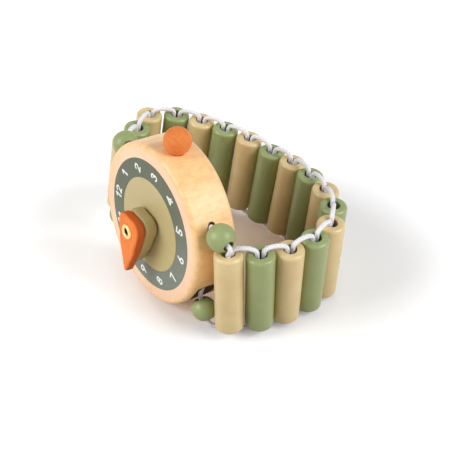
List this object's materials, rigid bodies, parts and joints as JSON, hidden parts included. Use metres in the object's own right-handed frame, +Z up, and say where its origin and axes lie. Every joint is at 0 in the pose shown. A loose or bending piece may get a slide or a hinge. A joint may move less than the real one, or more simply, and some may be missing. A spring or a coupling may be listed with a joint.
{
  "type": "toy watch",
  "caption": "Wooden toy wristwatch: round case with turning hands on a hollow rivet and a wrist strap of tube beads on one elastic cord.",
  "frame": {"origin": "on the surface it stands on, under the middle of its bounding box", "axes": "+Z up; the dial faces -Y, leaning back a few degrees; 12 o'clock is towards -X, 6 o'clock towards +X, 3 o'clock and the crown towards +Z; the strap's loop lies behind the case, towards +Y"},
  "size_m": [0.0874, 0.062, 0.0548],
  "materials": {
    "case_wood": "clear satin lacquer over fine grain",
    "ring_print": "matt grey-green print",
    "centre_print": "matt khaki print",
    "numeral_print": "matt white print",
    "tan_wood": "satin tan paint over wood",
    "green_wood": "satin sage-green paint over wood",
    "orange_wood": "orange stain, grain showing",
    "peg_wood": "plain dowel",
    "rivet_brass": "bright rolled brass",
    "elastic": "white knitted round elastic"
  },
  "bodies": {
    "case_body": {"case": "case_wood", "dial_ring": "ring_print", "dial_centre": "centre_print", "numerals": "numeral_print", "washer": "rivet_brass", "rivet": "rivet_brass", "crown": "orange_wood", "crown_peg": "peg_wood"},
    "hour_hand": {"hour_hand": "tan_wood"},
    "minute_hand": {"minute_hand": "orange_wood"},
    "link_01": {"bead_01": "tan_wood", "cord_00": "elastic", "near_top_ball": "green_wood", "near_low_ball": "green_wood"},
    "link_02": {"bead_02": "green_wood", "cord_01": "elastic"},
    "link_03": {"bead_03": "tan_wood", "cord_02": "elastic"},
    "link_04": {"bead_04": "green_wood", "cord_03": "elastic"},
    "link_05": {"bead_05": "tan_wood", "cord_04": "elastic"},
    "link_06": {"bead_06": "green_wood", "cord_05": "elastic"},
    "link_07": {"bead_07": "tan_wood", "cord_06": "elastic"},
    "link_08": {"bead_08": "green_wood", "cord_07": "elastic"},
    "link_09": {"bead_09": "tan_wood", "cord_08": "elastic", "cord_09": "elastic"},
    "link_10": {"bead_10": "green_wood", "cord_10": "elastic"},
    "link_11": {"bead_11": "tan_wood", "cord_11": "elastic"},
    "link_12": {"bead_12": "green_wood", "cord_12": "elastic"},
    "link_13": {"bead_13": "tan_wood", "cord_13": "elastic"},
    "link_14": {"bead_14": "green_wood", "cord_14": "elastic"},
    "link_15": {"bead_15": "tan_wood", "cord_15": "elastic"},
    "link_16": {"bead_16": "green_wood", "cord_16": "elastic"},
    "link_17": {"bead_17": "tan_wood", "cord_17": "elastic", "far_top_ball": "green_wood", "far_low_ball": "green_wood"}
  },
  "joints": [
    {"name": "hour_turn", "type": "hinge", "parent": "case_body", "child": "hour_hand", "pos_m": [0.00505, -0.0235, 0.02493], "axis": [0, -0.9976, 0.0698], "continuous": true},
    {"name": "minute_turn", "type": "hinge", "parent": "case_body", "child": "minute_hand", "pos_m": [0.00505, -0.02729, 0.0252], "axis": [0, -0.9976, 0.0698], "continuous": true},
    {"name": "strap_01", "type": "hinge", "parent": "case_body", "child": "link_01", "pos_m": [0.02577, -0.01736, 0.02177], "axis": [0.1305, 0.0692, 0.989], "range_deg": [-5.47, 5.47]},
    {"name": "strap_02", "type": "hinge", "parent": "link_01", "child": "link_02", "pos_m": [0.03292, -0.01547, 0.01619], "axis": [0.0349, -0.0349, 0.9988], "range_deg": [-4.53, 4.53]},
    {"name": "strap_03", "type": "hinge", "parent": "link_02", "child": "link_03", "pos_m": [0.0367, -0.00794, 0.01561], "axis": [0.087, -0.0608, 0.9944], "range_deg": [-13.44, 13.44]},
    {"name": "strap_04", "type": "hinge", "parent": "link_03", "child": "link_04", "pos_m": [0.03812, 0.00037, 0.01505], "axis": [0.1303, -0.0605, 0.9896], "range_deg": [-4.48, 4.48]},
    {"name": "strap_05", "type": "hinge", "parent": "link_04", "child": "link_05", "pos_m": [0.03777, 0.00881, 0.01507], "axis": [0.1304, -0.0432, 0.9905], "range_deg": [-11.93, 11.93]},
    {"name": "strap_06", "type": "hinge", "parent": "link_05", "child": "link_06", "pos_m": [0.03484, 0.01673, 0.01472], "axis": [0.1132, -0.0208, 0.9934], "range_deg": [-7.07, 7.07]},
    {"name": "strap_07", "type": "hinge", "parent": "link_06", "child": "link_07", "pos_m": [0.02863, 0.02246, 0.01474], "axis": [0.1045, 0.0052, 0.9945], "range_deg": [-0.47, 0.47]},
    {"name": "strap_08", "type": "hinge", "parent": "link_07", "child": "link_08", "pos_m": [0.02077, 0.02558, 0.01472], "axis": [0.1131, 0.0312, 0.9931], "range_deg": [-2.38, 2.38]},
    {"name": "strap_09", "type": "hinge", "parent": "link_08", "child": "link_09", "pos_m": [0.01237, 0.02641, 0.01488], "axis": [0.1217, 0.0519, 0.9912], "range_deg": [-4.26, 4.26]},
    {"name": "strap_17", "type": "hinge", "parent": "case_body", "child": "link_17", "pos_m": [-0.01567, -0.01698, 0.02721], "axis": [0.1305, 0.0692, 0.989], "range_deg": [-2.18, 2.18]},
    {"name": "strap_flex", "type": "hinge", "parent": "link_17", "child": "link_16", "pos_m": [-0.02839, -0.01208, 0.02092], "axis": [0.1993, 0.0257, 0.9796], "range_deg": [-15, 15]},
    {"name": "strap_15", "type": "hinge", "parent": "link_16", "child": "link_15", "pos_m": [-0.03312, -0.0051, 0.02043], "axis": [0.1907, 0.0257, 0.9813], "range_deg": [-9.97, 9.97]},
    {"name": "strap_14", "type": "hinge", "parent": "link_15", "child": "link_14", "pos_m": [-0.03762, 0.00205, 0.02054], "axis": [0.1735, 0.0344, 0.9842], "range_deg": [-11.26, 11.26]},
    {"name": "strap_13", "type": "hinge", "parent": "link_14", "child": "link_13", "pos_m": [-0.03422, 0.00975, 0.01974], "axis": [0.1821, 0.0429, 0.9824], "range_deg": [-0.12, 0.12]},
    {"name": "strap_12", "type": "hinge", "parent": "link_13", "child": "link_12", "pos_m": [-0.02733, 0.0146, 0.01906], "axis": [0.1735, 0.043, 0.9839], "range_deg": [-1.67, 1.67]},
    {"name": "strap_11", "type": "hinge", "parent": "link_12", "child": "link_11", "pos_m": [-0.01977, 0.01831, 0.01839], "axis": [0.1562, 0.0517, 0.9864], "range_deg": [-0.12, 0.12]},
    {"name": "strap_10", "type": "hinge", "parent": "link_11", "child": "link_10", "pos_m": [-0.0122, 0.02186, 0.01719], "axis": [0.1475, 0.0604, 0.9872], "range_deg": [-0.83, 0.83]}
  ],
  "couplings": [
    {"joint": "strap_01", "follows": "strap_flex", "ratio": 0.3545},
    {"joint": "strap_02", "follows": "strap_flex", "ratio": 0.2929},
    {"joint": "strap_03", "follows": "strap_flex", "ratio": -0.875},
    {"joint": "strap_04", "follows": "strap_flex", "ratio": -0.2895},
    {"joint": "strap_05", "follows": "strap_flex", "ratio": 0.7764},
    {"joint": "strap_06", "follows": "strap_flex", "ratio": 0.4591},
    {"joint": "strap_07", "follows": "strap_flex", "ratio": -0.0273},
    {"joint": "strap_08", "follows": "strap_flex", "ratio": -0.1522},
    {"joint": "strap_09", "follows": "strap_flex", "ratio": -0.2753},
    {"joint": "strap_17", "follows": "strap_flex", "ratio": 0.1394},
    {"joint": "strap_15", "follows": "strap_flex", "ratio": -0.6486},
    {"joint": "strap_14", "follows": "strap_flex", "ratio": -0.7325},
    {"joint": "strap_13", "follows": "strap_flex", "ratio": -0.0045},
    {"joint": "strap_12", "follows": "strap_flex", "ratio": 0.1056},
    {"joint": "strap_11", "follows": "strap_flex", "ratio": 0.0048},
    {"joint": "strap_10", "follows": "strap_flex", "ratio": 0.0509}
  ]
}
